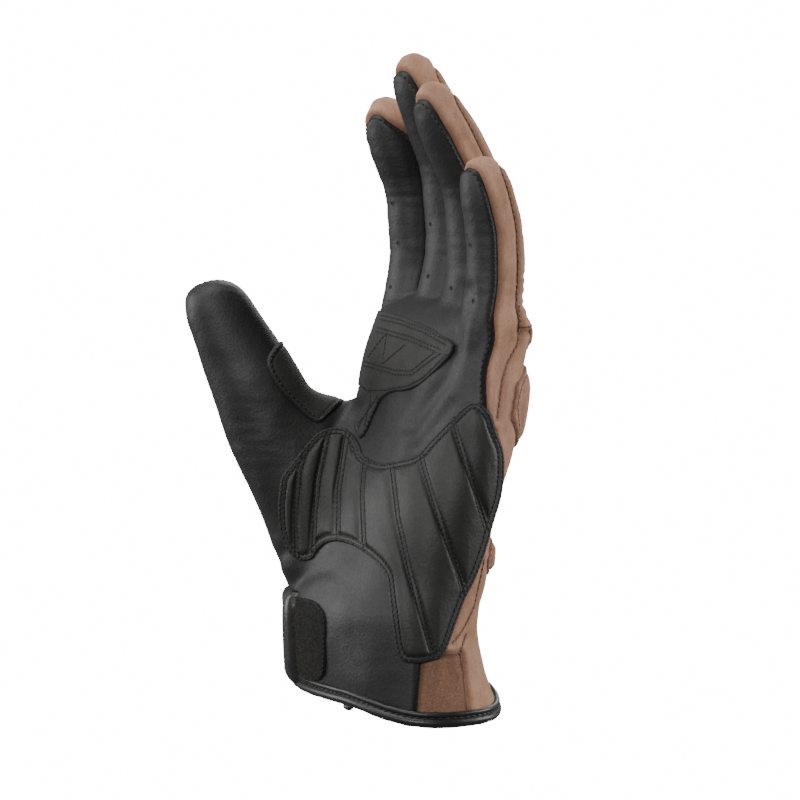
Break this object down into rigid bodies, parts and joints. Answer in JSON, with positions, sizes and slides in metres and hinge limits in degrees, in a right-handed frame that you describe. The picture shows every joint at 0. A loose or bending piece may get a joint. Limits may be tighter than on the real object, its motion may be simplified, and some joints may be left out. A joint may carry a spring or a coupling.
{
  "type": "motorcycle glove",
  "caption": "Left-hand short-cuff motorcycle glove in black leather and brown suede, standing in its worn shape, with a quilted padded palm, a wrist strap and a bound cuff.",
  "frame": {"origin": "middle of the cuff opening", "axes": "+Z from the cuff towards the fingertips, -Y out of the palm, -X towards the thumb"},
  "size_m": [0.1162, 0.1003, 0.2426],
  "materials": {
    "black_leather": "smooth black cowhide with a soft sheen and fine creases",
    "brown_suede": "matt brown suede with a short nap",
    "black_binding": "rolled black leather binding with a satin finish",
    "black_pile": "black hook-and-loop pile, matt"
  },
  "bodies": {
    "root": {"finger_front_index": "black_leather", "finger_back_index": "brown_suede", "finger_side_index": "brown_suede", "finger_base_pad_index": "brown_suede", "finger_front_middle": "black_leather", "finger_back_middle": "brown_suede", "finger_side_middle": "brown_suede", "finger_base_pad_middle": "brown_suede", "finger_front_ring": "black_leather", "finger_back_ring": "brown_suede", "finger_side_ring": "brown_suede", "finger_base_pad_ring": "brown_suede", "finger_front_little": "black_leather", "finger_back_little": "brown_suede", "finger_side_little": "brown_suede", "finger_base_pad_little": "brown_suede", "thumb_front": "black_leather", "thumb_back": "brown_suede", "cuff_side_panel": "brown_suede", "palm_panel": "black_leather", "back_panel": "brown_suede", "palm_pad": "black_leather", "upper_palm_patch": "black_leather", "thumb_crotch_patch": "black_leather", "knuckle_guard": "brown_suede", "vent_pad": "brown_suede", "hem_binding": "black_binding", "wrist_strap": "black_leather", "pile_patch": "black_pile", "pull_nub": "black_binding"}
  },
  "joints": []
}
